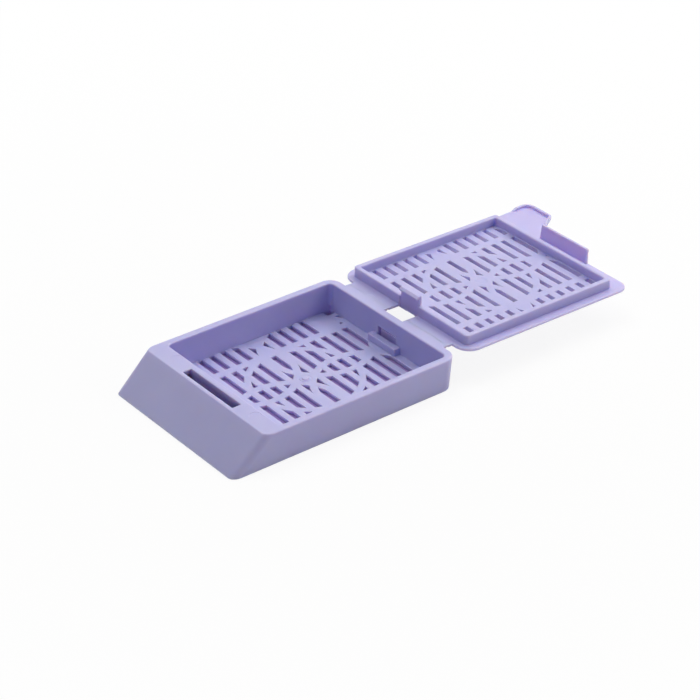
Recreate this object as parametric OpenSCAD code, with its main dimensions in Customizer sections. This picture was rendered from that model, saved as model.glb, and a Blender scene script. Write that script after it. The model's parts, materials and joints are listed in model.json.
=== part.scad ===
// Tissue cassette: a one-piece moulding with a grated tray, a sloped writing
// face and a grated lid on two strap hinges. It is drawn open and flat, as moulded.
// The origin is the middle of the tray floor's underside; +Y runs from the
// writing face towards the lid and +Z is up.

/* [Base] */
// Width of the base across its rim
base_w = 28.5; // [26:0.1:34]
// Height of the base
base_h = 5.2; // [5:0.1:8]
// Inside length of the tray
tray_l = 29.15; // [28.5:0.05:36]
// Thickness of the two side walls
side_wall = 1.15; // [0.8:0.05:1.6]
// Thickness of the wall beside the hinge
back_wall = 1.25; // [0.9:0.05:1.8]
// Thickness of the grated floor
floor_t = 0.6; // [0.5:0.05:1.2]
// How far the outer walls lean in between rim and foot
wall_draft = 0.23; // [0:0.01:0.4]
// Radius of the two outer corners beside the hinge
corner_r = 2; // [1.2:0.1:3]
// Radius of the tray's inner corners
tray_r = 0.8; // [0.3:0.1:1.5]

/* [Writing face] */
// Length of the slope from its foot to its top edge
slope_run = 5.3; // [4.5:0.1:8]
// Width of the flat strip between the slope and the tray
strip_w = 3.15; // [3:0.05:5]
// Thickness of the sloped wall
slope_t = 1.0; // [0.7:0.05:1.4]
// Thickness of the flat strip
strip_t = 0.9; // [0.6:0.05:1.2]
// Rounding of the slope's two side edges
slope_edge_r = 1.1; // [0.5:0.1:1.8]
// Thickness of the wall between the strip's slot and the tray
front_wall = 1.0; // [0.7:0.05:1.3]

/* [Grating] */
// Spacing of the slot rows in the tray floor
floor_pitch = 2.0; // [1.8:0.01:2.15]
// Width of a slot in the tray floor
floor_slot = 0.95; // [0.6:0.05:1.1]
// Spacing of the slot rows in the lid
lid_pitch = 1.97; // [1.8:0.01:2.05]
// Width of a slot in the lid
lid_slot = 0.83; // [0.6:0.01:1]
// Radius of the middle of each of the five round ribs
ring_r = 8.15; // [7.4:0.05:8.6]
// Width of the round rib about the centre
ring_w = 1.0; // [0.7:0.05:1.3]
// Width of the four round ribs that cross each other
petal_w = 1.1; // [0.7:0.05:1.3]
// Distance of the crossing ribs' centres from the middle, across the width
petal_x = 6.3; // [6:0.05:6.6]
// Distance of the crossing ribs' centres from the middle, along the length
petal_y = 6.8; // [6.5:0.05:7.1]
// Distance of the two straight ribs from the middle
column_x = 8.22; // [8:0.02:8.6]
// Width of the two straight ribs
column_w = 1.25; // [0.8:0.05:1.5]
// Radius of the solid hub where the plastic is fed in
hub_r = 1.3; // [1:0.1:1.6]
// Solid margin between the slots' ends and the tray's side walls
floor_margin = 0.05; // [0.05:0.05:1]
// Solid margin between the slots' ends and the lid's rim
lid_margin = 0.1; // [0.1:0.05:1]
// How far the floor's grating sits nearer the writing face than the middle of the tray
floor_grating_set = 0.2; // [0:0.05:0.3]
// How far the lid's grating sits nearer the hinge than the middle of its rim
lid_grating_set = 0.08; // [0:0.02:0.3]

/* [Hinge] */
// Free length of each hinge strap between base and lid
strap_l = 1.55; // [1.2:0.05:3]
// Distance of the fold from the base's rear face
fold_in = 0.66; // [0.5:0.01:0.9]
// Width of each hinge strap
strap_w = 9.0; // [6:0.1:10]
// Width of the open window between the two straps
window_w = 4.2; // [3.6:0.1:5]
// Thickness of a strap
strap_t = 0.4; // [0.3:0.05:0.6]
// Thickness left at the fold
fold_t = 0.2; // [0.15:0.05:0.3]
// Width of the thin fold line
fold_w = 0.4; // [0.2:0.05:0.8]
// Height of the turning axis above the rim, half the gap left when shut
hinge_lift = 0.05; // [0.03:0.01:0.2]
// Angle by which the open lid hangs below level
lid_droop = 0.7; // [0:0.05:3]

/* [Lid] */
// Overhang of the lid past the base at each side
lid_overhang = 0; // [-0.5:0.05:0.5]
// Thickness of the lid's flange
lid_t = 0.45; // [0.35:0.05:0.8]
// Thickness of the grated panel inside the lid's rim
panel_t = 0.9; // [0.7:0.05:1.3]
// Height of the panel's inner side above the flange
panel_raise = 0.15; // [0:0.05:0.3]
// Radius of the flange's corners beside the hinge
lid_near_r = 2.5; // [1:0.1:3.5]
// Radius of the flange's far corner
lid_far_r = 1.8; // [1:0.1:3]
// Height of the rim that drops into the tray
rim_h = 1.53; // [1:0.01:2.5]
// Thickness of the rim
rim_t = 0.8; // [0.5:0.05:1.2]
// Radius of the rim's outer corners
rim_r = 0.6; // [0.3:0.1:1]
// Play between rim and tray side wall
rim_side_gap = 0.25; // [0.15:0.01:0.5]
// Play between rim and the wall beside the hinge
rim_back_gap = 0.15; // [0.1:0.01:0.4]
// Play between rim and the wall beside the writing face
rim_front_gap = 0.85; // [0.6:0.05:1.5]

/* [Catches] */
// Width of the latch plate on the lid's far edge
latch_w = 10.2; // [8:0.1:14]
// Height of the latch plate
latch_h = 2.25; // [1.6:0.05:3]
// Thickness of the latch plate at its root
latch_t = 0.6; // [0.5:0.05:0.8]
// Thickness of the latch plate at its tip
latch_tip_t = 0.35; // [0.3:0.05:0.45]
// How far the latch plate's barb stands out past its root
barb = 0.1; // [0:0.02:0.15]
// How much narrower the latch plate is at its tip, each side
latch_taper = 0.1; // [0:0.05:0.5]
// Play between the latch plate and the slot's edge on the tray side
latch_gap = 0.22; // [0.2:0.01:0.5]
// Play between the latch plate and the slot's edge on the slope side
latch_front_gap = 0.63; // [0.45:0.01:0.8]
// How far the latch plate stands in from the lid's far edge
latch_set = 0.4; // [0:0.05:0.45]
// Play at each end of the latch plate in its slot
latch_end_gap = 0.72; // [0.3:0.01:1]
// Height of the catch tab beside the hinge
tab_h = 2.95; // [2.2:0.05:3.2]
// Width of the catch tab
tab_w = 4.0; // [3:0.1:4.6]
// How far the catch tab's face is set back from the rim's face
tab_setback = 0.2; // [0.1:0.05:0.4]
// Thickness of the catch tab
tab_t = 0.6; // [0.5:0.05:0.9]
// Height of the nose at the catch tab's tip
nose_h = 0.55; // [0.3:0.05:0.8]
// How far the nose stands out
nose_out = 0.4; // [0.2:0.05:0.5]
// Play above, below and beside the nose in the catch window
catch_gap = 0.1; // [0.05:0.01:0.3]
// Width of the ledge below the catch window
ledge_w = 6.1; // [5:0.1:8]
// Depth of the ledge in front of the wall
ledge_d = 1.05; // [0.6:0.05:1.5]
// Height of the ledge above the floor
ledge_h = 1.12; // [0.6:0.02:1.2]

/* [Finger tab] */
// Length of the finger tab past the lid's edge
finger_l = 5.75; // [4:0.05:8]
// Width of the finger tab at the lid
finger_root_w = 8.85; // [7:0.05:12]
// Width of the finger tab at its tip
finger_tip_w = 4.9; // [4:0.1:7]
// How far the tip reaches out past the lid's side
finger_flare = 0.3; // [0:0.05:0.5]
// Radius of the tip's corner beside the lid's side
finger_r = 1.5; // [1:0.1:2]
// Height of the grip lip around the finger tab
lip_h = 0.4; // [0.2:0.05:0.5]
// Thickness of the grip lip
lip_t = 0.45; // [0.3:0.05:0.6]
// Flat stretch between the lid's edge and the grip lip
lip_start = 2.2; // [1.8:0.1:3]

/* [Corner drain] */
// Number of short drain slots along the wall beside the hinge
drain_count = 3; // [1:1:4]
// Spacing of the short drain slots
drain_pitch = 1.85; // [1.6:0.05:2.2]
// Width of a short drain slot
drain_w = 0.75; // [0.5:0.05:1]
// Length of a short drain slot
drain_l = 1.0; // [0.6:0.05:1.3]

/* [Hidden] */
$fn = 72;
shell = [0.78, 0.76, 0.93];
shell_lid = [0.74, 0.72, 0.91];
cut = 1;                                        // how far a cutter runs past a face
weld = 0.02;                                    // overlap where two shapes become one
tray_w = base_w - 2*side_wall;
tray_front = -tray_l/2;
tray_back = tray_l/2;
back_y = tray_back + back_wall;
foot_y = tray_front - strip_w - slope_run;
slope_a = atan2(base_h, slope_run);
slot_back_y = tray_front - front_wall;
slot_l = latch_gap + latch_t + latch_front_gap;
slot_w = latch_w + 2*latch_end_gap;
strap_x = window_w/2 + strap_w/2;
hinge_y = back_y + fold_in;
fold_gap = 0.02;                                // cut between the two sides of a strap
lid_w = base_w + 2*lid_overhang;
// Distances below are measured from the hinge line, across the open lid
lid_near = strap_l - fold_in;
latch_in = hinge_y - slot_back_y + latch_gap;   // the latch plate's face on the tray side
lid_far = latch_in + latch_set;
rim_near = hinge_y - tray_back + rim_back_gap;
rim_far = hinge_y - tray_front - rim_front_gap;
rim_w = tray_w - 2*rim_side_gap;
rim_mid = (rim_near + rim_far)/2;
rim_l = rim_far - rim_near;
tab_face = rim_near + tab_setback;
panel_z = panel_raise - panel_t;
finger_x = -lid_w/2;
nose_z = base_h + 2*hinge_lift - tab_h;         // underside of the nose when the lid is shut
strap_root = 1;                                 // how far a strap runs under the lid's flange
barb_drop = 0.4;                                // height of the barb's slope
last_row = 13;                                  // rows lie at odd multiples of half the pitch

// Rectangle with four round corners, centred
module round_rect(w, l, r) {
    square([w - 2*r, l], center = true);
    square([w, l - 2*r], center = true);
    for (x = [-1, 1], y = [-1, 1])
        translate([x*(w/2 - r), y*(l/2 - r)]) circle(r);
}

// Profile given as [y, z] points, drawn out along X and centred
module across(w, points) {
    translate([-w/2, 0, 0])
        rotate([90, 0, 90])
            linear_extrude(w) polygon(points);
}

// One row of slots over the whole width, row 0 being the middle one
module slot_row(k, pitch, slot, reach) {
    translate([0, k*pitch/2]) square([2*reach, slot], center = true);
}

// The two lens shapes enclosed by the crossing ribs beside the middle
module side_lenses() {
    for (x = [-petal_x, petal_x])
        intersection() {
            translate([x, petal_y]) circle(ring_r + petal_w/2);
            translate([x, -petal_y]) circle(ring_r + petal_w/2);
        }
}

// Flat ring
module band(r, w) {
    difference() {
        circle(r + w/2);
        circle(r - w/2);
    }
}

// The ribs that interrupt the slots: five rings, two straight ribs and the hub
module ribs(length) {
    band(ring_r, ring_w);
    for (x = [-petal_x, petal_x], y = [-petal_y, petal_y])
        translate([x, y]) band(ring_r, petal_w);
    for (x = [-column_x, column_x])
        translate([x, 0]) square([column_w, length], center = true);
    circle(hub_r);
}

// Openings of one grating: rows of slots, less the ribs
module grating(pitch, slot, reach) {
    difference() {
        union() {
            for (k = [3:2:last_row], s = [-1, 1]) slot_row(s*k, pitch, slot, reach);
            difference() {
                for (s = [-1, 1]) slot_row(s, pitch, slot, reach);
                side_lenses();
            }
            slot_row(0, pitch, slot, column_x);
        }
        ribs(pitch*last_row + 2*slot);
    }
}

// Outside of the base: straight rear, leaning walls and a slope with round side edges
module base_outside() {
    big = base_w + tray_l;
    intersection() {
        linear_extrude(base_h) {
            translate([-base_w/2, foot_y]) square([base_w, back_y - corner_r - foot_y]);
            translate([-base_w/2 + corner_r, foot_y]) square([base_w - 2*corner_r, back_y - foot_y]);
            for (x = [-1, 1])
                translate([x*(base_w/2 - corner_r), back_y - corner_r]) circle(corner_r);
        }
        rotate([90, 0, 0])
            linear_extrude(4*big, center = true)
                polygon([[-base_w/2 + wall_draft, 0], [base_w/2 - wall_draft, 0],
                         [base_w/2, base_h], [-base_w/2, base_h]]);
        across(2*base_w, [[foot_y - cut, 0], [back_y - wall_draft, 0],
                          [back_y, base_h], [foot_y - cut, base_h]]);
        translate([0, foot_y, 0])
            rotate([slope_a - 90, 0, 0])
                linear_extrude(2*big, center = true) {
                    translate([-base_w/2 + slope_edge_r, 0])
                        square([base_w - 2*slope_edge_r, big]);
                    translate([-base_w/2, slope_edge_r]) square([base_w, big]);
                    for (x = [-1, 1])
                        translate([x*(base_w/2 - slope_edge_r), slope_edge_r])
                            circle(slope_edge_r);
                }
    }
}

// Hollow behind the slope, open underneath
module slope_hollow() {
    foot_in = foot_y + slope_t/sin(slope_a);
    roof = base_h - strip_t;
    roof_y = foot_in + roof/tan(slope_a);
    across(tray_w, [[foot_in - cut/tan(slope_a), -cut], [roof_y, roof],
                    [slot_back_y, roof], [slot_back_y, -cut]]);
}

// One side of the two hinge straps, over the free length l to the fold; y grows towards the fold
module strap_sides(root, l) {
    for (x = [-strap_x, strap_x])
        translate([x, 0, 0])
            across(strap_w, [[-root, 0], [l - fold_gap/2, 0], [l - fold_gap/2, -fold_t],
                             [l - fold_w/2, -strap_t], [-root, -strap_t]]);
}

// Short slots along the foot of the rear wall, beside the solid corner patch
module drain_slots() {
    for (i = [0:drain_count - 1])
        translate([-tray_w/2 + floor_margin + i*drain_pitch, tray_back - floor_margin - drain_l, -cut])
            cube([drain_w, drain_l, floor_t + 2*cut]);
}

// Part of the floor left solid, seen from the middle of its grating: the corner patch and the
// strip before the ledge
module floor_solids() {
    translate([-tray_w/2, (last_row - 3)*floor_pitch/2]) square([tray_w/2 - column_x, tray_l]);
    translate([-petal_w, (last_row - 1)*floor_pitch/2]) square([2*petal_w, tray_l]);
}

module cassette_base() {
    color(shell)
        difference() {
            union() {
                difference() {
                    base_outside();
                    translate([0, 0, floor_t])
                        linear_extrude(base_h) round_rect(tray_w, tray_l, tray_r);
                    slope_hollow();
                }
                translate([-ledge_w/2, tray_back - ledge_d, floor_t - weld])
                    cube([ledge_w, ledge_d + weld, ledge_h + weld]);
                translate([0, back_y, base_h]) strap_sides(back_wall/2, fold_in);
            }
            translate([-slot_w/2, slot_back_y - slot_l, base_h - strip_t - cut])
                cube([slot_w, slot_l, strip_t + 2*cut]);
            translate([-tab_w/2 - catch_gap, tray_back - weld, floor_t + ledge_h])
                cube([tab_w + 2*catch_gap, back_wall + cut, nose_z + nose_h + catch_gap - floor_t - ledge_h]);
            translate([0, -floor_grating_set, -cut])
                linear_extrude(floor_t + 2*cut)
                    difference() {
                        grating(floor_pitch, floor_slot, tray_w/2 - floor_margin);
                        floor_solids();
                    }
            drain_slots();
        }
}

// Outline of the lid's flange, from its edge beside the hinge to its far edge
module flange_outline() {
    l = lid_far - lid_near;
    difference() {
        translate([-lid_w/2, lid_near]) square([lid_w, l]);
        for (x = [-1, 1])
            translate([x*lid_w/2, lid_near]) corner_waste(-x, 1, lid_near_r);
        translate([lid_w/2, lid_far]) corner_waste(-1, -1, lid_far_r);
    }
}

// What is cut away to round a corner that lies at the origin; x and y point into the sheet
module corner_waste(x, y, r) {
    difference() {
        square(2*r, center = true);
        translate([x*r, y*r]) circle(r);
        translate([x*2*r, 0]) square([2*r, 6*r], center = true);
        translate([0, y*2*r]) square([6*r, 2*r], center = true);
    }
}

// Outline of the finger tab, measured from the lid's far edge and drawn in by the given inset
module finger_outline(inset) {
    slant = (finger_root_w - finger_tip_w - finger_flare)/finger_l;
    flare = finger_flare/finger_l;
    tip_in = finger_l - inset;
    outer = -finger_flare + inset;
    difference() {
        polygon([[inset + flare*cut, -cut], [finger_root_w + slant*cut - inset, -cut],
                 [finger_root_w - slant*tip_in - inset, tip_in], [outer, tip_in]]);
        translate([outer, tip_in]) corner_waste(1, -1, finger_r - inset);
    }
}

// Flange, tongue under the latch plate and finger tab, as one flat sheet
module lid_sheet() {
    translate([0, 0, -lid_t])
        linear_extrude(lid_t) {
            flange_outline();
            translate([-latch_w/2, latch_in - cut]) square([latch_w, cut + latch_t]);
            translate([finger_x, lid_far]) finger_outline(0);
        }
}

// Low lip around the finger tab, open towards the lid
module grip_lip() {
    translate([finger_x, lid_far, -weld])
        linear_extrude(lip_h + weld)
            intersection() {
                difference() {
                    finger_outline(0);
                    finger_outline(lip_t);
                }
                translate([-finger_flare, lip_start]) square([finger_root_w + finger_flare, finger_l]);
            }
}

// Rim and grated panel, before the slots are cut
module rim_and_panel() {
    translate([0, rim_mid, -weld])
        linear_extrude(rim_h + weld)
            difference() {
                round_rect(rim_w, rim_l, rim_r);
                square([rim_w - 2*rim_t, rim_l - 2*rim_t], center = true);
            }
    translate([0, rim_mid, panel_z])
        linear_extrude(panel_t)
            square([rim_w - rim_t, rim_l - rim_t], center = true);
}

// Latch plate: thinner towards its tip, with a barb on its far face
module latch_plate() {
    barb_z = latch_h - barb_drop;
    intersection() {
        translate([0, latch_in, 0])
            across(latch_w, [[0, -lid_t], [latch_t, -lid_t], [latch_t, barb_z - barb_drop],
                             [latch_t + barb, barb_z], [latch_t, latch_h],
                             [latch_t - latch_tip_t, latch_h]]);
        translate([0, latch_in + latch_t + cut, 0])
            rotate([90, 0, 0])
                linear_extrude(latch_t + 2*cut)
                    polygon([[-latch_w/2, -lid_t], [latch_w/2, -lid_t],
                             [latch_w/2 - latch_taper, latch_h], [-latch_w/2 + latch_taper, latch_h]]);
    }
}

// Catch tab with its nose, which enters the window in the wall beside the hinge
module catch_tab() {
    nose_foot = tab_h - nose_h;
    across(tab_w, [[tab_face, -lid_t], [tab_face, nose_foot], [tab_face - nose_out, nose_foot],
                   [tab_face - nose_out, tab_h - nose_h/2], [tab_face, tab_h],
                   [tab_face + tab_t, tab_h], [tab_face + tab_t, -lid_t]]);
}

// The lid lying flat, its hinge line on the X axis and its flange's upper face at z = 0
module lid_flat() {
    difference() {
        union() {
            lid_sheet();
            rim_and_panel();
            latch_plate();
            grip_lip();
            translate([0, lid_near, 0]) mirror([0, 1, 0]) strap_sides(strap_root, lid_near);
        }
        translate([-window_w/2, -cut, panel_z - cut])
            cube([window_w, cut + tab_face, rim_h - panel_z + 2*cut]);
        translate([0, rim_mid, panel_z - cut])
            linear_extrude(panel_t + 2*cut)
                intersection() {
                    translate([0, -lid_grating_set])
                        grating(lid_pitch, lid_slot, rim_w/2 - rim_t - lid_margin);
                    square([rim_w, rim_l - 2*rim_t], center = true);
                }
    }
    catch_tab();
}

module cassette_lid() {
    color(shell_lid)
        translate([0, hinge_y, base_h + hinge_lift])
            rotate([-lid_droop, 0, 0])
                translate([0, 0, -hinge_lift]) lid_flat();
}

cassette_base();
cassette_lid();
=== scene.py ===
import json
import math

import bmesh
import bpy
from mathutils import Matrix, Vector


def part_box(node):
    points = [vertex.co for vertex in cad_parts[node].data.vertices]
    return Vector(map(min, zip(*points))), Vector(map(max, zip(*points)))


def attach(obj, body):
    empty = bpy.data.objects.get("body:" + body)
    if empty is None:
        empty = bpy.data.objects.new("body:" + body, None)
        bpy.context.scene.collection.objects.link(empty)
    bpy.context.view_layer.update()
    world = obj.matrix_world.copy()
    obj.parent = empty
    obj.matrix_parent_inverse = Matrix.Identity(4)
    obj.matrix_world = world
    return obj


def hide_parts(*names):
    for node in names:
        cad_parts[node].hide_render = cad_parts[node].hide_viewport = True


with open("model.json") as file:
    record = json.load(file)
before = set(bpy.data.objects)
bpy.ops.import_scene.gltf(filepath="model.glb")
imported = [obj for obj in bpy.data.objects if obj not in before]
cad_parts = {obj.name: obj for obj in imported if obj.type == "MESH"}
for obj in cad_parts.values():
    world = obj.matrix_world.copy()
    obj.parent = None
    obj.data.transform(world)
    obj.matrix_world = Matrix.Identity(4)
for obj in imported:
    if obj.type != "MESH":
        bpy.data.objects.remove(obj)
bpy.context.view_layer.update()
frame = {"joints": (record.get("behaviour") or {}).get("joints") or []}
print("stage 1: frame loaded")

mm = 0.001                                         # every size below is in millimetres
past = 1.0                                         # how far a cutter runs past a face
weld = 0.1                                         # how deep one shape sinks into the next
mergeGap = 1e-4                                    # points nearer than this become one

facets = {
    "edge": 4,                                     # across a small rounded edge
    "corner": 4,                                   # of a corner, for each radian that it turns
    "radius": 5,                                   # and more for each millimetre of its radius
    "body": 12,                                    # of each corner of the tray's body
    "disc": 32,
    "ring": 96,
    "hub": 48,
}

hinge = frame["joints"][0]
hingeY = hinge["pos_m"][1] / mm
hingeZ = hinge["pos_m"][2] / mm
baseLow, baseHigh = (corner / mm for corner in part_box("cassette_base"))
baseW = baseHigh.x - baseLow.x
baseH = baseHigh.z
footY = baseLow.y


def arc(centre, radiusX, radiusY, start, turn, count):
    points = []
    for i in range(count + 1):
        angle = math.radians(start + turn * i / count)
        x = centre[0] + radiusX * math.cos(angle)
        points.append(Vector((x, centre[1] + radiusY * math.sin(angle))))
    return points


def outline(corners):
    # counter-clockwise corners as (x, y, radius); each becomes an arc
    points = []
    for i, (x, y, radius) in enumerate(corners):
        here = Vector((x, y))
        if radius == 0:
            points.append(here)
            continue
        back = (Vector(corners[i - 1][:2]) - here).normalized()
        ahead = (Vector(corners[(i + 1) % len(corners)][:2]) - here).normalized()
        half = back.angle(ahead) / 2
        centre = here + (back + ahead).normalized() * radius / math.sin(half)
        start = here + back * radius / math.tan(half) - centre
        end = here + ahead * radius / math.tan(half) - centre
        sweep = start.angle_signed(end)
        count = max(2, round(abs(sweep) * (facets["corner"] + facets["radius"] * radius)))
        for k in range(count + 1):
            points.append(centre + Matrix.Rotation(-sweep * k / count, 2) @ start)
    return points


def rectangle(x0, x1, y0, y1, radius):
    return outline([(x0, y0, radius), (x1, y0, radius), (x1, y1, radius), (x0, y1, radius)])


def mitres(points):
    # how each point moves when the outline grows by one millimetre
    moves = []
    for i, here in enumerate(points):
        before = here - points[i - 1]
        after = points[(i + 1) % len(points)] - here
        n0 = Vector((before.y, -before.x)).normalized()
        n1 = Vector((after.y, -after.x)).normalized()
        moves.append((n0 + n1) / (1 + n0.dot(n1)))
    return moves


def steps(low, high, lowEdge, highEdge):
    # a positive edge is rounded over, and a negative one flares out and runs past its face
    def end(height, edge, inward):
        if edge == 0:
            return [(0, height)]
        pairs = []
        if edge < 0:
            pairs.append((-edge, height - inward * past))
        for i in range(facets["edge"] + 1):
            angle = math.radians(90 * i / facets["edge"])
            grow = -edge * (1 - math.sin(angle))
            pairs.append((grow, height + inward * abs(edge) * (1 - math.cos(angle))))
        return pairs
    return end(low, lowEdge, 1) + end(high, highEdge, -1)[::-1]


def tower(name, points, levels, turn=None):
    # stacks the outline at each level, grown or shrunk, into one closed solid
    moves = mitres(points)
    bm = bmesh.new()
    loops = []
    for grow, height in levels:
        places = [(p.x + m.x * grow, p.y + m.y * grow, height) for p, m in zip(points, moves)]
        loops.append([bm.verts.new(place) for place in places])
    for low, high in zip(loops, loops[1:]):
        for i in range(len(points)):
            j = (i + 1) % len(points)
            bm.faces.new((low[i], low[j], high[j], high[i]))
    bm.faces.new(loops[0][::-1])
    bm.faces.new(loops[-1])
    return solid(name, bm, turn)


def solid(name, bm, turn=None):
    bmesh.ops.remove_doubles(bm, verts=bm.verts[:], dist=mergeGap)
    if turn is not None:
        bm.transform(turn)
    mesh = bpy.data.meshes.new(name)
    bm.to_mesh(mesh)
    bm.free()
    piece = bpy.data.objects.new(name, mesh)
    bpy.context.scene.collection.objects.link(piece)
    return piece


def bake(piece):
    # applies the modifiers and returns the piece with a plain mesh
    graph = bpy.context.evaluated_depsgraph_get()
    mesh = bpy.data.meshes.new_from_object(piece.evaluated_get(graph))
    piece.modifiers.clear()
    piece.data = mesh
    return piece


def combine(piece, operation, others):
    for other in others:
        step = piece.modifiers.new("combine", "BOOLEAN")
        step.operation = operation
        step.solver = "MANIFOLD"
        step.object = other
    bake(piece)
    for other in others:
        bpy.data.objects.remove(other)
    return piece


# turns an outline drawn in Y and Z, with its height along X, into place
alongX = Matrix(((0, 0, 1, 0), (1, 0, 0, 0), (0, 1, 0, 0), (0, 0, 0, 1)))
# the same for an outline drawn in X and Z, with its height against Y
alongY = Matrix(((1, 0, 0, 0), (0, 0, -1, 0), (0, 1, 0, 0), (0, 0, 0, 1)))


def block(name, x, y, z, edge, radius=None):
    radius = edge if radius is None else radius
    return tower(name, rectangle(*x, *y, radius), steps(*z, edge, edge))


def disc(name, place, radius, levels):
    # round stack of levels about a place given as (x, y)
    count = facets["disc"]
    return tower(name, arc(place, radius, radius, 0, 360 - 360 / count, count - 1), levels)


def dent(name, place, radius, face, depth, slope):
    # cutter for a shallow round mark in the given face
    return disc(name, place, radius, [(-slope, face - depth), (0, face), (slope, face + slope)])


def addNode(tree, kind, settings=None, inputs=None):
    node = tree.nodes.new(kind)
    for name, value in (settings or {}).items():
        setattr(node, name, value)
    for name, value in (inputs or {}).items():
        for item in value if isinstance(value, list) else [value]:
            if isinstance(item, bpy.types.NodeSocket):
                tree.links.new(item, node.inputs[name])
            else:
                node.inputs[name].default_value = item
    return node


def srgb(text):
    # hex colour to linear values
    values = [int(text[i:i + 2], 16) / 255 for i in (1, 3, 5)]
    return tuple(v / 12.92 if v <= 0.04045 else ((v + 0.055) / 1.055) ** 2.4 for v in values) + (1.0,)


lilacAcetal = {
    "colour": "#BFBEE9",
    "shade": "#B5B3E2",                            # where the pigment lies a little denser
    "roughness": 0.42,
    "satin": 0.05,                                 # how far the roughness goes up and down in the grain
    "ior": 1.48,
    "glow": 1.0,                                   # share of the light that enters the plastic
    "depth": (1.4, 0.95, 0.8),                     # how far red, green and blue travel in it
    "grainSize": 0.12,                             # fine spark-eroded mould texture
    "grainDetail": 3.0,
    "grainSpan": (0.3, 0.7),                       # part of the noise that the grain uses
    "grainDepth": 0.01,
    "grainStrength": 0.25,
    "cloudSize": 9.0,                              # slow change of tone where the melt flowed
    "cloudDetail": 2.0,
}


def acetalMaterial(look):
    # Acetal (POM) moulded in a polished and lightly spark-eroded tool: even lilac pigment, a satin
    # skin with soft wide highlights, and a little light that passes through thin walls
    material = bpy.data.materials.new("acetalLilac")
    material.use_nodes = True
    tree = material.node_tree
    tree.nodes.clear()
    place = addNode(tree, "ShaderNodeTexCoord").outputs["Object"]
    cloud = addNode(tree, "ShaderNodeTexNoise", {},
                    {"Vector": place, "Scale": 1 / (look["cloudSize"] * mm), "Detail": look["cloudDetail"]})
    tone = addNode(tree, "ShaderNodeMix", {"data_type": "RGBA"},
                   {0: cloud.outputs["Fac"], 6: srgb(look["colour"]), 7: srgb(look["shade"])})
    grain = addNode(tree, "ShaderNodeTexNoise", {},
                    {"Vector": place, "Scale": 1 / (look["grainSize"] * mm), "Detail": look["grainDetail"]})
    low, high = look["grainSpan"]
    dull, satin = look["roughness"], look["satin"]
    rough = addNode(tree, "ShaderNodeMapRange", {},
                    {"Value": grain.outputs["Fac"], "From Min": low, "From Max": high,
                     "To Min": dull - satin, "To Max": dull + satin})
    bump = addNode(tree, "ShaderNodeBump", {},
                   {"Height": grain.outputs["Fac"], "Strength": look["grainStrength"],
                    "Distance": look["grainDepth"] * mm})
    skin = addNode(tree, "ShaderNodeBsdfPrincipled", {},
                   {"Base Color": tone.outputs[2], "Roughness": rough.outputs[0], "IOR": look["ior"],
                    "Normal": bump.outputs[0], "Subsurface Weight": look["glow"],
                    "Subsurface Radius": look["depth"], "Subsurface Scale": mm})
    addNode(tree, "ShaderNodeOutputMaterial", {}, {"Surface": skin.outputs[0]})
    return material


acetal = acetalMaterial(lilacAcetal)


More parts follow.
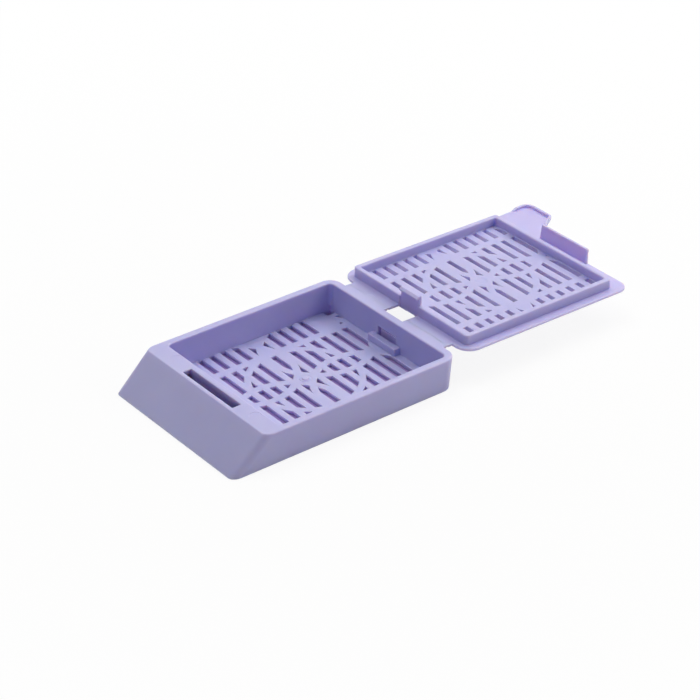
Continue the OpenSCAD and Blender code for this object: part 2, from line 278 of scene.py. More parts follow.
def gratingTree():
    # ribs and bars that close a window in the given plate: rows of bars, five rings and two columns
    tree = bpy.data.node_groups.new("grating", "GeometryNodeTree")
    sockets = {
        "Geometry": ("Plate",),
        "Material": ("Material",),
        "Int": ("Rows", "Middle Row"),
        "Vector": ("First Row", "Last Row", "Middle", "Limit"),
        "Float": ("Thickness", "Edge", "Bar Reach", "Bar Width", "Lens Reach", "Lens Width", "Lens Span",
                  "Lens End Reach", "Lens End Width", "Lens End Place", "Stub Reach", "Stub Width",
                  "Stub Place", "Root Reach", "Root Width", "Root Place", "Web Reach", "Web Width",
                  "Web Place", "Column Reach", "Column Width", "Column Place", "Ring Radius", "Ring Width",
                  "Petal Width", "Petal Span X", "Petal Span Y", "Hub Radius"),
    }
    for kind, names in sockets.items():
        for name in names:
            tree.interface.new_socket(name, in_out="INPUT", socket_type="NodeSocket" + kind)
    tree.interface.new_socket("Plate", in_out="OUTPUT", socket_type="NodeSocketGeometry")
    given = tree.nodes.new("NodeGroupInput").outputs

    # a straight path and a pair of points each way, one unit out from the middle, to be scaled to size
    paths, pairs = {}, {}
    for way, end in (("across", Vector((1, 0, 0))), ("along", Vector((0, 1, 0)))):
        paths[way] = addNode(tree, "GeometryNodeCurvePrimitiveLine", {}, {"Start": -end, "End": end})
        pairs[way] = addNode(tree, "GeometryNodeMeshLine", {"mode": "END_POINTS"},
                             {"Count": 2, "Start Location": -end, "Offset": end})

    def swept(path, width):
        # a section of the given width, with rounded edges, drawn along a path
        section = addNode(tree, "GeometryNodeCurvePrimitiveQuadrilateral", {"mode": "RECTANGLE"},
                          {"Width": width, "Height": given["Thickness"]})
        rounded = addNode(tree, "GeometryNodeFilletCurve", {"mode": "POLY"},
                          {"Curve": section.outputs[0], "Radius": given["Edge"], "Count": facets["edge"]})
        return addNode(tree, "GeometryNodeCurveToMesh", {},
                       {"Curve": path, "Profile Curve": rounded.outputs[0], "Fill Caps": True}).outputs[0]

    def straight(name, way):
        path = addNode(tree, "GeometryNodeTransform", {},
                       {"Geometry": paths[way].outputs[0], "Scale": given[name + " Reach"]})
        return swept(path.outputs[0], given[name + " Width"])

    # full bars between the rows of slots, without the middle one
    rows = addNode(tree, "GeometryNodeMeshLine", {"mode": "END_POINTS"},
                   {"Count": given["Rows"], "Start Location": given["First Row"],
                    "Offset": given["Last Row"]})
    index = addNode(tree, "GeometryNodeInputIndex")
    besideMiddle = addNode(tree, "FunctionNodeCompare", {"data_type": "INT", "operation": "NOT_EQUAL"},
                           {2: index.outputs[0], 3: given["Middle Row"]})
    ribs = [addNode(tree, "GeometryNodeInstanceOnPoints", {},
                    {"Points": rows.outputs[0], "Instance": straight("Bar", "across"),
                     "Selection": besideMiddle.outputs[0]})]

    # four at a time: the lenses beside the middle, which are solid with one slot along their axis, and
    # the petals, which are rings that cross each other
    ring = addNode(tree, "GeometryNodeCurvePrimitiveCircle", {"mode": "RADIUS"},
                   {"Radius": given["Ring Radius"], "Resolution": facets["ring"]}).outputs[0]
    fours = []
    for shape, spanY in ((straight("Lens", "across"), "Lens Span"),
                         (swept(ring, given["Petal Width"]), "Petal Span Y")):
        corners = addNode(tree, "GeometryNodeMeshGrid", {},
                          {"Size X": given["Petal Span X"], "Size Y": given[spanY],
                           "Vertices X": 2, "Vertices Y": 2})
        fours.append(addNode(tree, "GeometryNodeInstanceOnPoints", {},
                             {"Points": corners.outputs[0], "Instance": shape}))
    lenses, petals = fours
    ribs.append(lenses)

    # two at a time: the plates outside the lenses, the stubs of the middle bar at the walls with their
    # wide roots, the webs that close the small gap at each crossing on the centre line, and the columns
    for name, way, side in (("Lens End", "across", "across"), ("Stub", "across", "across"),
                            ("Root", "across", "across"), ("Web", "across", "along"),
                            ("Column", "along", "across")):
        ends = addNode(tree, "GeometryNodeTransform", {},
                       {"Geometry": pairs[side].outputs[0], "Scale": given[name + " Place"]})
        ribs.append(addNode(tree, "GeometryNodeInstanceOnPoints", {},
                            {"Points": ends.outputs[0], "Instance": straight(name, way)}))
    hub = addNode(tree, "GeometryNodeMeshCylinder", {},
                  {"Vertices": facets["hub"], "Radius": given["Hub Radius"], "Depth": given["Thickness"]})

    shapes = [rib.outputs[0] for rib in ribs + [petals]]
    shapes += [swept(ring, given["Ring Width"]), hub.outputs[0]]
    joined = addNode(tree, "GeometryNodeMeshBoolean", {"operation": "UNION", "solver": "MANIFOLD"},
                     {"Mesh 2": shapes})
    limit = addNode(tree, "GeometryNodeMeshCube", {}, {"Size": given["Limit"]})
    inside = addNode(tree, "GeometryNodeMeshBoolean", {"operation": "INTERSECT", "solver": "MANIFOLD"},
                     {"Mesh 2": [joined.outputs[0], limit.outputs[0]]})
    placed = addNode(tree, "GeometryNodeTransform", {},
                     {"Geometry": inside.outputs[0], "Translation": given["Middle"]})
    whole = addNode(tree, "GeometryNodeMeshBoolean", {"operation": "UNION", "solver": "MANIFOLD"},
                    {"Mesh 2": [given["Plate"], placed.outputs[0]]})
    real = addNode(tree, "GeometryNodeRealizeInstances", {}, {"Geometry": whole.outputs[0]})
    done = addNode(tree, "GeometryNodeSetMaterial", {},
                   {"Geometry": real.outputs[0], "Material": given["Material"]})
    tree.links.new(done.outputs[0], tree.nodes.new("NodeGroupOutput").inputs[0])
    return tree


grating = gratingTree()
print("stage 2: material and grating tree built")

ringPattern = {
    "rows": 13,                                    # bars, with the middle one left out
    "ringRadius": 8.15,                            # middle of each of the five rings
    "ringWidth": 1.0,
    "petalWidth": 1.1,                             # the four rings that cross each other
    "petalX": 6.3,
    "petalY": 6.8,
    "columnX": 8.22,
    "columnWidth": 1.25,
    "hubRadius": 1.3,
    "lensTuck": 0.12,                              # how far a lens ends inside the crossing rings
    "lensEnd": 0.9,                                # half length of the plate outside a lens
    "lensEndOut": 1.0,                             # from the column out to that plate's middle
    "stub": 1.0,                                   # half length of what is left of the middle bar
    "root": 0.6,                                   # half length of the wide root of that stub
    "web": 0.45,                                   # half length of a web on the centre line
    "webWidth": 0.6,                               # share of the pitch
    "webRow": 5.5,                                 # pitches from the middle
}


def gratingSizes(size, thickness, middle, reachX, reachY):
    # every size of one grating, by the names of the tree's inputs
    ring = ringPattern
    pitch, slot = size["pitch"], size["slot"]
    barWidth = pitch - slot
    lensWidth = pitch - slot / 2
    lastRow = (ring["rows"] - 1) * pitch / 2
    outer = ring["ringRadius"] + ring["petalWidth"] / 2
    across = ring["petalY"] + (pitch + slot) / 2
    return {
        "Material": acetal,
        "Rows": ring["rows"],
        "Middle Row": ring["rows"] // 2,
        "First Row": (0.0, -lastRow, 0.0),
        "Last Row": (0.0, lastRow, 0.0),
        "Middle": middle,
        "Limit": (2 * reachX, 2 * reachY, 2 * past),
        "Thickness": thickness,
        "Edge": size["edge"],
        "Bar Reach": reachX,
        "Bar Width": barWidth,
        "Lens Reach": math.sqrt(outer ** 2 - across ** 2) - ring["lensTuck"],
        "Lens Width": lensWidth,
        "Lens Span": 2 * pitch - lensWidth,
        "Lens End Reach": ring["lensEnd"],
        "Lens End Width": pitch,
        "Lens End Place": ring["columnX"] + ring["lensEndOut"],
        "Stub Reach": ring["stub"],
        "Stub Width": barWidth,
        "Stub Place": reachX - ring["stub"],
        "Root Reach": ring["root"],
        "Root Width": pitch + barWidth,
        "Root Place": reachX - ring["root"],
        "Web Reach": ring["web"],
        "Web Width": ring["webWidth"] * pitch,
        "Web Place": ring["webRow"] * pitch,
        "Column Reach": reachY,
        "Column Width": ring["columnWidth"],
        "Column Place": ring["columnX"],
        "Ring Radius": ring["ringRadius"],
        "Ring Width": ring["ringWidth"],
        "Petal Width": ring["petalWidth"],
        "Petal Span X": 2 * ring["petalX"],
        "Petal Span Y": 2 * ring["petalY"],
        "Hub Radius": ring["hubRadius"],
    }


def closeWithGrating(piece, sizes):
    step = piece.modifiers.new("grating", "NODES")
    step.node_group = grating
    for item in grating.interface.items_tree:
        if item.in_out == "INPUT" and item.name in sizes:
            step[item.identifier] = sizes[item.name]
    return bake(piece)


strap = {
    "length": 1.55,                                # free length between base and lid
    "foldIn": 0.66,                                # from the base's rear face to the fold
    "width": 9.0,
    "window": 4.2,                                 # open window between the two straps
    "thickness": 0.4,
    "fold": 0.2,                                   # thickness left at the fold
    "foldWidth": 0.4,
    "foldGap": 0.004,                              # hairline between the two halves
    "edge": 0.06,                                  # rounding of its edges
}


def strapHalves(root, length, place):
    # both straps of one body, from the given root to the fold, over the given free length
    tipY = length - strap["foldGap"] / 2
    thinY = length - strap["foldWidth"] / 2
    profile = outline([(-root, -strap["thickness"], 0), (thinY, -strap["thickness"], 0),
                       (tipY, -strap["fold"], 0), (tipY, 0, 0), (-root, 0, 0)])
    across = strap["width"] / 2
    halves = []
    for side in (-1, 1):
        middle = side * (strap["window"] + strap["width"]) / 2
        levels = steps(middle - across, middle + across, strap["edge"], strap["edge"])
        half = tower("strap", profile, levels, alongX)
        half.data.transform(place)
        halves.append(half)
    return halves


base = {
    "sideWall": 1.15,
    "backWall": 1.25,
    "frontWall": 1.0,
    "floor": 0.6,
    "draft": 0.23,                                 # the walls lean in by this much at the foot
    "cornerRadius": 2.0,                           # the two corners beside the hinge
    "cavityRadius": 0.8,
    "strip": 3.15,                                 # flat strip between the slope and the tray
    "stripThickness": 0.9,
    "slopeThickness": 1.0,
    "slopeEdge": 1.1,                              # rounding of the slope's side edges
    "rimEdge": 0.22,                               # rounding of the rim's outer edge
    "mouthEdge": 0.2,                              # rounding of the rim's inner edge
    "footEdge": 0.12,
    "fillet": 0.06,                                # fillet where the walls meet the floor
    "hollowRadius": 0.2,                           # inner corners of the hollow behind the slope
    "hollowEdge": 0.15,
    "ribRoot": 1 / 3,                              # share of a wall's thickness that the ribs run into
}

# Places that follow from the sizes, seen from the middle of the tray
trayW = baseW - 2 * base["sideWall"]
backY = hingeY - strap["foldIn"]
trayBack = backY - base["backWall"]
trayFront = -trayBack
ridgeY = trayFront - base["strip"]
slotBackY = trayFront - base["frontWall"]
slopeAngle = math.atan2(baseH, ridgeY - footY)


def baseOutside():
    # convex body: a flat top, leaning walls and a slope whose side edges are round
    lean = base["draft"]
    corner = base["cornerRadius"]
    edgeX = base["slopeEdge"]
    edgeY = edgeX / math.sin(slopeAngle)
    count = facets["body"]
    bm = bmesh.new()

    def loop(inset, front, back, levels):
        x = baseW / 2 - inset
        points = arc((x - corner, back - corner), corner, corner, 0, 90, count)
        points += arc((-x + corner, back - corner), corner, corner, 90, 90, count)
        points += arc((-x + edgeX, front + edgeY), edgeX, edgeY, 180, 90, count)
        points += arc((x - edgeX, front + edgeY), edgeX, edgeY, 270, 90, count)
        moves = mitres(points)
        for grow, height in levels:
            for p, m in zip(points, moves):
                bm.verts.new((p.x + m.x * grow, p.y + m.y * grow, height))

    rounded = steps(0, baseH, base["footEdge"], base["rimEdge"])
    foot = facets["edge"] + 1
    loop(lean, footY, backY - lean, rounded[:foot])
    loop(0, ridgeY, backY, rounded[foot:])
    bmesh.ops.remove_doubles(bm, verts=bm.verts[:], dist=mergeGap)
    hull = bmesh.ops.convex_hull(bm, input=bm.verts[:])
    spare = [g for g in hull["geom_interior"] + hull["geom_unused"] if isinstance(g, bmesh.types.BMVert)]
    bmesh.ops.delete(bm, geom=list(set(spare)), context="VERTS")
    return solid("trayBody", bm)


def slopeHollow():
    footIn = footY + base["slopeThickness"] / math.sin(slopeAngle)
    roof = baseH - base["stripThickness"]
    roofY = footIn + roof / math.tan(slopeAngle)
    radius = base["hollowRadius"]
    edge = base["hollowEdge"]
    points = outline([(footIn - past / math.tan(slopeAngle), -past, 0), (slotBackY, -past, 0),
                      (slotBackY, roof, radius), (roofY, roof, radius)])
    return tower("slopeHollow", points, steps(-trayW / 2, trayW / 2, edge, edge), alongX)


floorGrating = {
    "pitch": 2.0,
    "slot": 1.0,
    "margin": 0.05,                                # between the slots' ends and the side walls
    "setFront": 0.2,                               # the pattern's middle lies this far to the front
    "edge": 0.05,
    "corner": 0.1,
    "patchRows": 2,                                # slot rows that the solid corner takes
    "blockRows": 1,                                # and that the small block at the back takes
}


def floorWindow():
    # everything between the slots' outer ends is open, but for the solid corner and the small block
    size = floorGrating
    rows = ringPattern["rows"]
    x = trayW / 2 - size["margin"]
    y = (rows * size["pitch"] + size["slot"]) / 2
    patchX = -ringPattern["columnX"]
    patchY = ((rows + 1) / 2 - size["patchRows"]) * size["pitch"]
    blockX = ringPattern["petalWidth"]
    blockY = ((rows + 1) / 2 - size["blockRows"]) * size["pitch"]
    corner = size["corner"]
    points = outline([(-x, -y, corner), (x, -y, corner), (x, y, corner), (blockX, y, 0), (blockX, blockY, 0),
                      (-blockX, blockY, 0), (-blockX, y, 0), (patchX, y, 0), (patchX, patchY, 0),
                      (-x, patchY, 0)])
    window = tower("floorWindow", points, steps(0, base["floor"], -size["edge"], -size["edge"]))
    window.data.transform(Matrix.Translation((0, -size["setFront"], 0)))
    return window


drain = {"count": 3, "pitch": 1.88, "width": 1.12, "length": 1.4, "corner": 0.08}


def drainSlots():
    # short slots in the solid corner
    slots = []
    for i in range(drain["count"]):
        x = -trayW / 2 + floorGrating["margin"] + i * drain["pitch"]
        y = trayBack - floorGrating["margin"] - drain["length"]
        points = rectangle(x, x + drain["width"], y, y + drain["length"], drain["corner"])
        edge = -floorGrating["edge"]
        slots.append(tower("drainSlot", points, steps(0, base["floor"], edge, edge)))
    return slots


catch = {
    "slotWidth": 11.64,                            # slot for the latch plate
    "slotLength": 1.45,
    "slotRadius": 0.15,
    "slotEdge": 0.12,
    "windowWidth": 4.2,                            # window in the wall beside the hinge
    "windowHeight": 1.28,
    "windowEdge": 0.08,
    "lipHeight": 0.5,                              # lip on the window's sill, at the outside
    "lipThickness": 0.4,
    "lipEdge": 0.05,
    "pocket": 0.8,                                 # depth of the pocket between that lip and the ledge
    "ledgeWidth": 6.1,
    "ledgeDepth": 1.05,
    "ledgeHeight": 1.12,
    "ledgeEdge": 0.12,
}


def latchSlot():
    x = catch["slotWidth"] / 2
    points = rectangle(-x, x, slotBackY - catch["slotLength"], slotBackY, catch["slotRadius"])
    edge = -catch["slotEdge"]
    return tower("latchSlot", points, steps(baseH - base["stripThickness"], baseH, edge, edge))


def catchShapes():
    # ledge, window, pocket and lip of the catch in the wall beside the hinge
    floor = base["floor"]
    x = catch["ledgeWidth"] / 2
    ledge = block("ledge", (-x, x), (trayBack - catch["ledgeDepth"], trayBack + weld),
                  (floor - weld, floor + catch["ledgeHeight"]), catch["ledgeEdge"])
    sill = floor + catch["ledgeHeight"]
    x = catch["windowWidth"] / 2
    edge = catch["windowEdge"]
    points = rectangle(-x, x, sill, sill + catch["windowHeight"], edge)
    window = tower("catchWindow", points, steps(-backY, -trayBack, -edge, -edge), alongY)
    lipY = backY - base["draft"]
    low = sill - catch["pocket"]
    edge = catch["lipEdge"]
    pocket = block("sillPocket", (-x, x), (trayBack, lipY - weld), (low, sill + weld), edge)
    lip = block("sillLip", (-x - weld, x + weld), (lipY - catch["lipThickness"], lipY),
                (low - weld, sill + catch["lipHeight"]), edge)
    return ledge, window, pocket, lip


gate = {
    "dent": 1.15,                                  # radius of the dimple where the plastic was fed in
    "depth": 0.06,
    "slope": 0.35,
    "disc": 0.85,                                  # raised round in the dimple
    "discEdge": 0.06,
    "nub": 0.5,                                    # what is left of the feed, torn off
    "nubHeight": 0.15,
    "lidDent": 1.0,
    "lidDepth": 0.05,
}

ejector = {
    "radius": 0.9,                                 # round marks of the pins that push the part out
    "depth": 0.035,
    "slope": 0.03,
    "x": 9.3,                                      # on the strip, each side of the latch slot
    "strapX": -6.4,                                # on a strap, at the fold
}


def ejectorMark(place, face):
    return dent("ejectorMark", place, ejector["radius"], face, ejector["depth"], ejector["slope"])


def markTray(body):
    floor = base["floor"]
    place = (0, -floorGrating["setFront"])
    dents = [dent("gateDent", place, gate["dent"], floor, gate["depth"], gate["slope"])]
    for side in (-1, 1):
        dents.append(ejectorMark((side * ejector["x"], slotBackY - catch["slotRadius"]), baseH))
    combine(body, "DIFFERENCE", dents)
    low = floor - gate["depth"] - weld
    raised = disc("gateDisc", place, gate["disc"], steps(low, floor, 0, gate["discEdge"]))
    nub = disc("gateNub", place, gate["nub"], steps(low, floor + gate["nubHeight"], 0, gate["nubHeight"]))
    return combine(body, "UNION", [raised, nub])


def buildTray():
    body = baseOutside()
    floor = base["floor"]
    cavity = tower("cavity", rectangle(-trayW / 2, trayW / 2, trayFront, trayBack, base["cavityRadius"]),
                   steps(floor, baseH, base["fillet"], -base["mouthEdge"]))
    combine(body, "DIFFERENCE", [cavity, slopeHollow()])
    straps = strapHalves(base["backWall"] / 2, strap["foldIn"], Matrix.Translation((0, backY, baseH)))
    ledge, window, pocket, lip = catchShapes()
    combine(body, "UNION", [ledge] + straps)
    combine(body, "DIFFERENCE", [latchSlot(), window, pocket, floorWindow()] + drainSlots())
    combine(body, "UNION", [lip])
    closeWithGrating(body, gratingSizes(
        floorGrating, floor, (0.0, -floorGrating["setFront"], floor / 2),
        trayW / 2 + base["sideWall"] * base["ribRoot"], trayBack + base["frontWall"] * base["ribRoot"]))
    return markTray(body)


lid = {
    "flange": 0.45,                                # thickness of the flange
    "flangeEdge": 0.14,
    "leastRadius": 0.16,                           # of a sharp corner, just rounder than that edge
    "nearRadius": 2.5,                             # corners beside the hinge
    "farRadius": 1.8,
    "strapRoot": 1.0,                              # how far the straps run into the lid
    "rimHeight": 1.53,
    "rimThickness": 0.8,
    "rimRadius": 0.6,
    "rimInnerRadius": 0.3,
    "rimEdge": 0.2,
    "rimEnd": 0.4,                                 # rounding of the rim's two ends beside the catch tab
    "fillet": 0.1,                                 # fillet where the rim meets the panel
    "sideGap": 0.25,                               # play between the rim and the tray
    "backGap": 0.15,
    "frontGap": 0.85,
    "panel": 0.9,                                  # thickness of the grated panel
    "panelRaise": 0.15,
    "panelEdge": 0.12,
    "panelRadius": 0.5,
    "droop": 0.7,                                  # degrees by which the open lid hangs
    "lift": 0.05,                                  # from the straps' top up to the hinge's axis
}

# Places on the lid, measured from the hinge line across the open lid
lidNear = strap["length"] - strap["foldIn"]
rimNear = hingeY - trayBack + lid["backGap"]
rimFar = hingeY - trayFront - lid["frontGap"]
rimW = trayW - 2 * lid["sideGap"]
rimMid = (rimNear + rimFar) / 2
rimL = rimFar - rimNear
panelTop = lid["panelRaise"]
panelBottom = panelTop - lid["panel"]

latch = {
    "width": 10.2,
    "height": 2.25,
    "thickness": 0.6,
    "tip": 0.35,                                   # thickness at its tip
    "barb": 0.1,
    "barbDrop": 0.4,
    "barbRadius": 0.2,                             # where the barb starts to swell
    "taper": 0.1,                                  # each end leans in by this much at the tip
    "gap": 0.22,                                   # play on the tray's side of the slot
    "setIn": 0.4,                                  # from the lid's far edge in to its inner face
    "edge": 0.1,
}

latchIn = hingeY - slotBackY + latch["gap"]
lidFar = latchIn + latch["setIn"]


def latchPlate():
    foot = latch["height"] - latch["barbDrop"]
    face = latchIn + latch["thickness"]
    low = -lid["flange"] + weld
    edge = latch["edge"]
    points = outline([
        (latchIn, low, 0), (face, low, 0), (face, foot - latch["barbDrop"], latch["barbRadius"]),
        (face + latch["barb"], foot, edge), (face, latch["height"], edge),
        (face - latch["tip"], latch["height"], edge)])
    half = latch["width"] / 2
    plate = tower("latchPlate", points, steps(-half, half, edge, edge), alongX)
    for vertex in plate.data.vertices:
        vertex.co.x *= 1 - latch["taper"] / half * vertex.co.z / latch["height"]
    return plate


catchTab = {
    "width": 4.0,
    "height": 2.95,
    "thickness": 0.6,
    "setBack": 0.2,                                # from the rim's face to its own
    "noseHeight": 0.55,
    "noseOut": 0.4,
    "tipRadius": 0.15,
    "crease": 0.05,                                # radius under the nose
    "edge": 0.1,
}

tabFace = rimNear + catchTab["setBack"]


def catchTabPlate():
    noseFoot = catchTab["height"] - catchTab["noseHeight"]
    noseY = tabFace - catchTab["noseOut"]
    farY = tabFace + catchTab["thickness"]
    low = -lid["flange"] + weld
    top = catchTab["height"]
    edge = catchTab["edge"]
    tip = catchTab["tipRadius"]
    points = outline([
        (noseY, noseFoot, edge), (tabFace, noseFoot, catchTab["crease"]), (tabFace, low, 0),
        (farY, low, 0), (farY, top, tip), (tabFace, top, tip),
        (noseY, top - catchTab["noseHeight"] / 2, tip)])
    half = catchTab["width"] / 2
    return tower("catchTab", points, steps(-half, half, edge, edge), alongX)


finger = {
    "length": 5.75,
    "root": 8.85,                                  # width at the lid
    "tip": 4.9,
    "flare": 0.3,
    "rootRadius": 1.0,                             # where its outer edge leaves the lid's side
    "outerRadius": 1.5,
    "innerRadius": 0.4,
    "leastRadius": 0.1,                            # of a corner that is drawn further in
    "lipHeight": 0.4,
    "lipThickness": 0.45,
    "lipStart": 2.2,
    "lipRamp": 0.9,                                # length of the slope at each end of the lip
    "lipEdge": 0.12,
}

fingerSlant = (finger["root"] - finger["tip"] - finger["flare"]) / finger["length"]


def fingerOutline(inset):
    side = baseW / 2
    flare = finger["flare"] / finger["length"]
    tip = finger["length"] - inset
    innerRadius = max(finger["leastRadius"], finger["innerRadius"] - inset)
    return outline([
        (-side + inset + flare * past, lidFar - past, 0),
        (-side + finger["root"] + fingerSlant * past - inset, lidFar - past, 0),
        (-side + finger["root"] - fingerSlant * tip - inset, lidFar + tip, innerRadius),
        (-side - finger["flare"] + inset, lidFar + tip, finger["outerRadius"] - inset)])


def gripLip():
    edge = finger["lipEdge"]
    lip = tower("gripLip", fingerOutline(0), steps(-weld, finger["lipHeight"], 0, edge))
    inside = tower("lipInside", fingerOutline(finger["lipThickness"]),
                   steps(-past, finger["lipHeight"], 0, -edge))
    rise = finger["lipHeight"] + past
    start = lidFar + finger["lipStart"]
    ramp = finger["lipRamp"] * rise / finger["lipHeight"]
    before = lidFar - 2 * past
    wedge = outline([(before, -past, 0), (start, -past, 0), (start, 0, 0), (start + ramp, rise, 0),
                     (before, rise, 0)])
    waste = tower("lipStart", wedge, steps(-baseW, baseW, 0, 0), alongX)
    return combine(lip, "DIFFERENCE", [inside, waste])


def lidSheet():
    # flange, tongue under the latch plate and finger tab in one outline
    side = baseW / 2
    gapX = strap["window"] / 2
    tongueX = latch["width"] / 2
    tongueY = latchIn + latch["thickness"]
    tipY = lidFar + finger["length"]
    tipX = -side + finger["root"] - fingerSlant * finger["length"]
    rootX = -side + finger["root"] - fingerSlant * (tongueY - lidFar)
    least = lid["leastRadius"]
    points = outline([
        (-side, lidNear, lid["nearRadius"]), (-gapX, lidNear, least), (-gapX, tabFace, least),
        (gapX, tabFace, least), (gapX, lidNear, least), (side, lidNear, lid["nearRadius"]),
        (side, lidFar, lid["farRadius"]), (tongueX, lidFar, least), (tongueX, tongueY, least),
        (rootX, tongueY, least), (tipX, tipY, finger["innerRadius"]),
        (-side - finger["flare"], tipY, finger["outerRadius"]), (-side, lidFar, finger["rootRadius"])])
    return tower("lidBody", points, steps(-lid["flange"], 0, lid["flangeEdge"], lid["flangeEdge"]))


lidGrating = {
    "pitch": 1.97,
    "slot": 0.83,
    "margin": 0.1,                                 # between the slots' ends and the rim
    "nearMargin": 0.02,                            # the same beside the hinge
    "setNear": 0.08,                               # the pattern's middle lies this far to the hinge
    "edge": 0.07,
    "corner": 0.1,
}


def lidWindow():
    size = lidGrating
    x = rimW / 2 - lid["rimThickness"] - size["margin"]
    y0 = rimMid - rimL / 2 + lid["rimThickness"] + size["nearMargin"]
    y1 = rimMid - size["setNear"] + (ringPattern["rows"] * size["pitch"] + size["slot"]) / 2
    levels = steps(panelBottom, panelTop, -size["edge"], -size["edge"])
    return tower("lidWindow", rectangle(-x, x, y0, y1, size["corner"]), levels)


def lidPanelAndRim():
    # the panel, the rim and what is cut from inside and between them
    wall = lid["rimThickness"]
    x = (rimW - wall) / 2
    y = (rimL - wall) / 2
    panel = block("panel", (-x, x), (rimMid - y, rimMid + y), (panelBottom, panelTop),
                  lid["panelEdge"], lid["panelRadius"])
    x = rimW / 2
    rim = tower("rim", rectangle(-x, x, rimNear, rimFar, lid["rimRadius"]),
                steps(-weld, lid["rimHeight"], 0, lid["rimEdge"]))
    inner = rectangle(-x + wall, x - wall, rimNear + wall, rimFar - wall, lid["rimInnerRadius"])
    inside = tower("rimInside", inner, steps(panelTop, lid["rimHeight"], lid["fillet"], -lid["rimEdge"]))
    x = strap["window"] / 2
    between = tower("between", rectangle(-x, x, -past, tabFace, 0),
                    steps(panelBottom - past, lid["rimHeight"], 0, -lid["rimEnd"]))
    return panel, rim, inside, between


def buildLid():
    body = lidSheet()
    panel, rim, inside, between = lidPanelAndRim()
    place = Matrix.Translation((0, lidNear, 0)) @ Matrix.Rotation(math.pi, 4, "Z")
    combine(body, "UNION", [panel, rim] + strapHalves(lid["strapRoot"], lidNear, place))
    combine(body, "DIFFERENCE", [inside, between, lidWindow()])
    # the ribs end in the middle of the rim
    wall = lid["rimThickness"]
    middle = rimMid - lidGrating["setNear"]
    closeWithGrating(body, gratingSizes(
        lidGrating, lid["panel"], (0.0, middle, (panelTop + panelBottom) / 2),
        rimW / 2 - wall / 2, rimL / 2 - wall / 2 - lidGrating["setNear"]))
    hub = dent("gateDent", (0, middle), gate["lidDent"], panelTop, gate["lidDepth"], gate["slope"])
    combine(body, "DIFFERENCE", [hub, ejectorMark((ejector["strapX"], 0), 0)])
    combine(body, "UNION", [latchPlate(), catchTabPlate(), gripLip()])
    toPart = (Matrix.Translation((0, hingeY, hingeZ)) @ Matrix.Rotation(math.radians(-lid["droop"]), 4, "X")
              @ Matrix.Translation((0, 0, -lid["lift"])))
    body.data.transform(toPart)
    return body


crumb = 20                                         # a speck has fewer points than this


def dropCrumbs(piece):
    # deletes specks that the boolean steps leave where faces coincide
    bm = bmesh.new()
    bm.from_mesh(piece.data)
    left = set(bm.verts)
    while left:
        group = {left.pop()}
        edge = set(group)
        while edge:
            edge = {e.other_vert(v) for v in edge for e in v.link_edges} - group
            group |= edge
        left -= group
        if len(group) < crumb:
            bmesh.ops.delete(bm, geom=list(group), context="VERTS")
    bm.to_mesh(piece.data)
    bm.free()


def finishPiece(piece, name, body, node):
    dropCrumbs(piece)
    piece.name = name
    piece.data.transform(Matrix.Scale(mm, 4))
    piece.data.materials.clear()
    piece.data.materials.append(acetal)
    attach(piece, body)
    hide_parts(node)
    print(name, len(piece.data.vertices), "vertices")


finishPiece(buildTray(), "tray", "base", "cassette_base")
print("stage 3: tray built")
finishPiece(buildLid(), "lid", "lid", "cassette_lid")
print("stage 4: lid built")


cameraView = {
    "azimuth": 51.43,                              # degrees round from the front
    "elevation": 31.12,
    "roll": 0.46,
    "distance": 339.5,                             # to the target
    "target": (-3.19, 9.675, 0.0),
    "lens": 120.94,
    "sensor": 36,
    "shift": (0.0056, 0.0011),
    "clip": (0.01, 10),                            # metres
}


def direction(azimuth, elevation):
    # from the part towards a camera or lamp, in degrees round from the front and up
    azimuth, elevation = math.radians(azimuth), math.radians(elevation)
    flat = math.cos(elevation)
    return Vector((math.sin(azimuth) * flat, -math.cos(azimuth) * flat, math.sin(elevation)))


def makeCamera(view):
    back = direction(view["azimuth"], view["elevation"])
    data = bpy.data.cameras.new("camera")
    data.lens = view["lens"]
    data.sensor_width = view["sensor"]
    data.shift_x, data.shift_y = view["shift"]
    data.clip_start, data.clip_end = view["clip"]
    camera = bpy.data.objects.new("camera", data)
    bpy.context.scene.collection.objects.link(camera)
    camera.location = (Vector(view["target"]) + back * view["distance"]) * mm
    turn = back.to_track_quat("Z", "Y").to_matrix().to_4x4()
    camera.rotation_euler = (turn @ Matrix.Rotation(math.radians(view["roll"]), 4, "Z")).to_euler()
    bpy.context.scene.camera = camera


studio = {
    "paper": "#FAFAFA",
    "paperSize": 3.0,                              # half width, in metres
    "paperDrop": 0.02,                             # how far it lies below the part
    "paintedShade": [                                    # painted shade on the paper that the part hides: middle, half size, colour
        ((0.0, 0.1), (13.1, 14.5), "#A68ECC"),     # painted shade under the tray, tinted lilac as painted light through the plastic
        ((0.0, -18.4), (13.1, 4.0), "#3C2A50"),    # painted shade in the hollow behind the slope
    ],
    "blur": 0.1,                                   # soft edge of those painted-shade areas
    "glowNear": 0.88,                              # share of plain white that the floor shows the camera
    "glowFar": 1.0,
    "glowEnd": 0.16,                               # metres from the middle
    "middle": (0.0, 0.016, 0.0),                   # what the lamps point at, in metres
    "distance": 0.6,                               # metres
    "lampSize": 0.35,
    "ambient": 0.0,                                # light from all round on the part
    "lamps": {                                     # name: degrees round from the front and up, watts, tint
        "back": (180, 50, 1.76, "#FFFFFF"),
        "leftHigh": (270, 65, 1.27, "#FFFFFF"),
        "backRight": (135, 25, 0.92, "#FFFAEB"),
        "frontHigh": (0, 65, 0.53, "#FFFFFF"),
        "backLeft": (225, 35, 0.31, "#FFFFFF"),
        "front": (0, 25, 0.22, "#FFFFFF"),
    },
}
white = srgb("#FFFFFF")


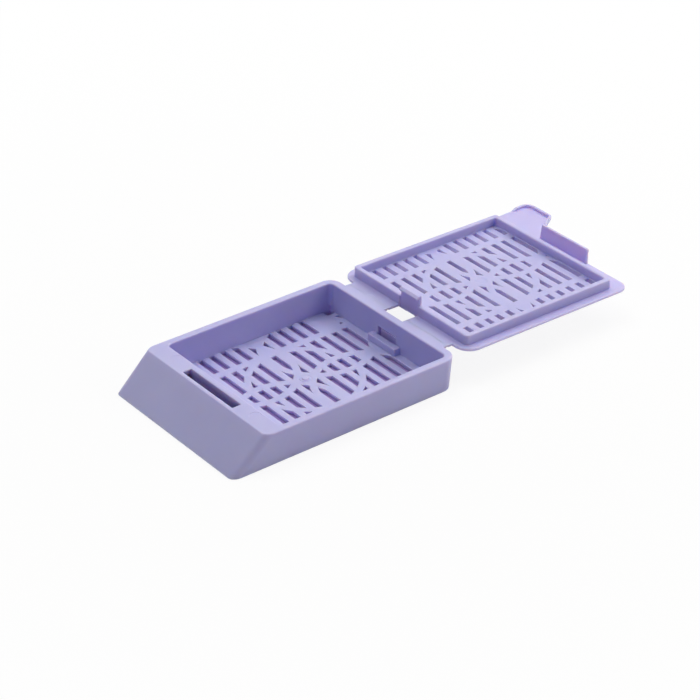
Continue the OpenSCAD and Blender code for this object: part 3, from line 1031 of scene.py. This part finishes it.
def whereSeen(tree):
    # 1 for what the camera sees, straight or by way of gloss or glass, and 0 for light on the object
    rays = addNode(tree, "ShaderNodeLightPath").outputs
    direct = addNode(tree, "ShaderNodeMath", {"operation": "MAXIMUM"},
                     {0: rays["Is Camera Ray"], 1: rays["Is Glossy Ray"]})
    return addNode(tree, "ShaderNodeMath", {"operation": "MAXIMUM"},
                   {0: direct.outputs[0], 1: rays["Is Transmission Ray"]}).outputs[0]


def makeWorld(look):
    world = bpy.data.worlds.new("studio")
    bpy.context.scene.world = world
    world.use_nodes = True
    tree = world.node_tree
    tree.nodes.clear()
    soft = addNode(tree, "ShaderNodeBackground", {}, {"Color": white, "Strength": look["ambient"]})
    plain = addNode(tree, "ShaderNodeBackground", {}, {"Color": white, "Strength": 1.0})
    mix = addNode(tree, "ShaderNodeMixShader", {},
                  {0: whereSeen(tree), 1: soft.outputs[0], 2: plain.outputs[0]})
    addNode(tree, "ShaderNodeOutputWorld", {}, {"Surface": mix.outputs[0]})


def paperSweep(look):
    # matt white paper that keeps a soft shadow by the part and turns to plain white further out, with
    # painted shade under the tray and in the hollow behind the slope
    paper = bpy.data.materials.new("paperSweep")
    paper.use_nodes = True
    tree = paper.node_tree
    tree.nodes.clear()
    place = addNode(tree, "ShaderNodeTexCoord").outputs["Object"]
    away = addNode(tree, "ShaderNodeVectorMath", {"operation": "DISTANCE"}, {0: place, 1: look["middle"]})
    fade = addNode(tree, "ShaderNodeMapRange", {"interpolation_type": "SMOOTHSTEP"},
                   {"Value": away.outputs["Value"], "From Max": look["glowEnd"],
                    "To Min": look["glowNear"], "To Max": look["glowFar"]})
    share = addNode(tree, "ShaderNodeMath", {"operation": "MULTIPLY"},
                    {0: whereSeen(tree), 1: fade.outputs[0]}).outputs[0]
    colour = srgb(look["paper"])
    for middle, half, shade in look["paintedShade"]:
        # how far a place lies outside a painted-shade area, the larger of its distances in X and in Y
        middle, half = (Vector((*pair, 0)) * mm for pair in (middle, half))
        off = addNode(tree, "ShaderNodeVectorMath", {"operation": "SUBTRACT"}, {0: place, 1: middle})
        off = addNode(tree, "ShaderNodeVectorMath", {"operation": "ABSOLUTE"}, {0: off.outputs[0]})
        off = addNode(tree, "ShaderNodeVectorMath", {"operation": "SUBTRACT"}, {0: off.outputs[0], 1: half})
        off = addNode(tree, "ShaderNodeSeparateXYZ", {}, {0: off.outputs[0]}).outputs
        off = addNode(tree, "ShaderNodeMath", {"operation": "MAXIMUM"}, {0: off["X"], 1: off["Y"]})
        # 0 inside the area, where the paper takes the painted shade colour and shows no plain white
        clear = addNode(tree, "ShaderNodeMapRange", {},
                        {"Value": off.outputs[0], "From Max": look["blur"] * mm}).outputs[0]
        share = addNode(tree, "ShaderNodeMath", {"operation": "MULTIPLY"}, {0: share, 1: clear}).outputs[0]
        colour = addNode(tree, "ShaderNodeMix", {"data_type": "RGBA"},
                         {0: clear, 6: srgb(shade), 7: colour}).outputs[2]
    matt = addNode(tree, "ShaderNodeBsdfDiffuse", {}, {"Color": colour})
    glow = addNode(tree, "ShaderNodeEmission", {}, {"Color": white, "Strength": 1.0})
    mix = addNode(tree, "ShaderNodeMixShader", {}, {0: share, 1: matt.outputs[0], 2: glow.outputs[0]})
    addNode(tree, "ShaderNodeOutputMaterial", {}, {"Surface": mix.outputs[0]})
    return paper


def makeFloor(look):
    bm = bmesh.new()
    bmesh.ops.create_grid(bm, x_segments=1, y_segments=1, size=look["paperSize"])
    bmesh.ops.translate(bm, verts=bm.verts[:], vec=(0, 0, -look["paperDrop"] * mm))
    mesh = bpy.data.meshes.new("floor")
    bm.to_mesh(mesh)
    bm.free()
    mesh.materials.append(paperSweep(look))
    floor = bpy.data.objects.new("floor", mesh)
    bpy.context.scene.collection.objects.link(floor)


def makeLamps(look):
    for name, (azimuth, elevation, watts, tint) in look["lamps"].items():
        data = bpy.data.lights.new(name, "AREA")
        data.shape = "SQUARE"
        data.size = look["lampSize"]
        data.energy = watts
        data.color = srgb(tint)[:3]
        lamp = bpy.data.objects.new(name, data)
        bpy.context.scene.collection.objects.link(lamp)
        towards = direction(azimuth, elevation)
        lamp.location = Vector(look["middle"]) + towards * look["distance"]
        lamp.rotation_euler = towards.to_track_quat("Z", "Y").to_euler()


makeCamera(cameraView)
makeWorld(studio)
makeFloor(studio)
makeLamps(studio)
bpy.context.scene.view_settings.view_transform = "Standard"
print("stage 5: camera and studio ready")
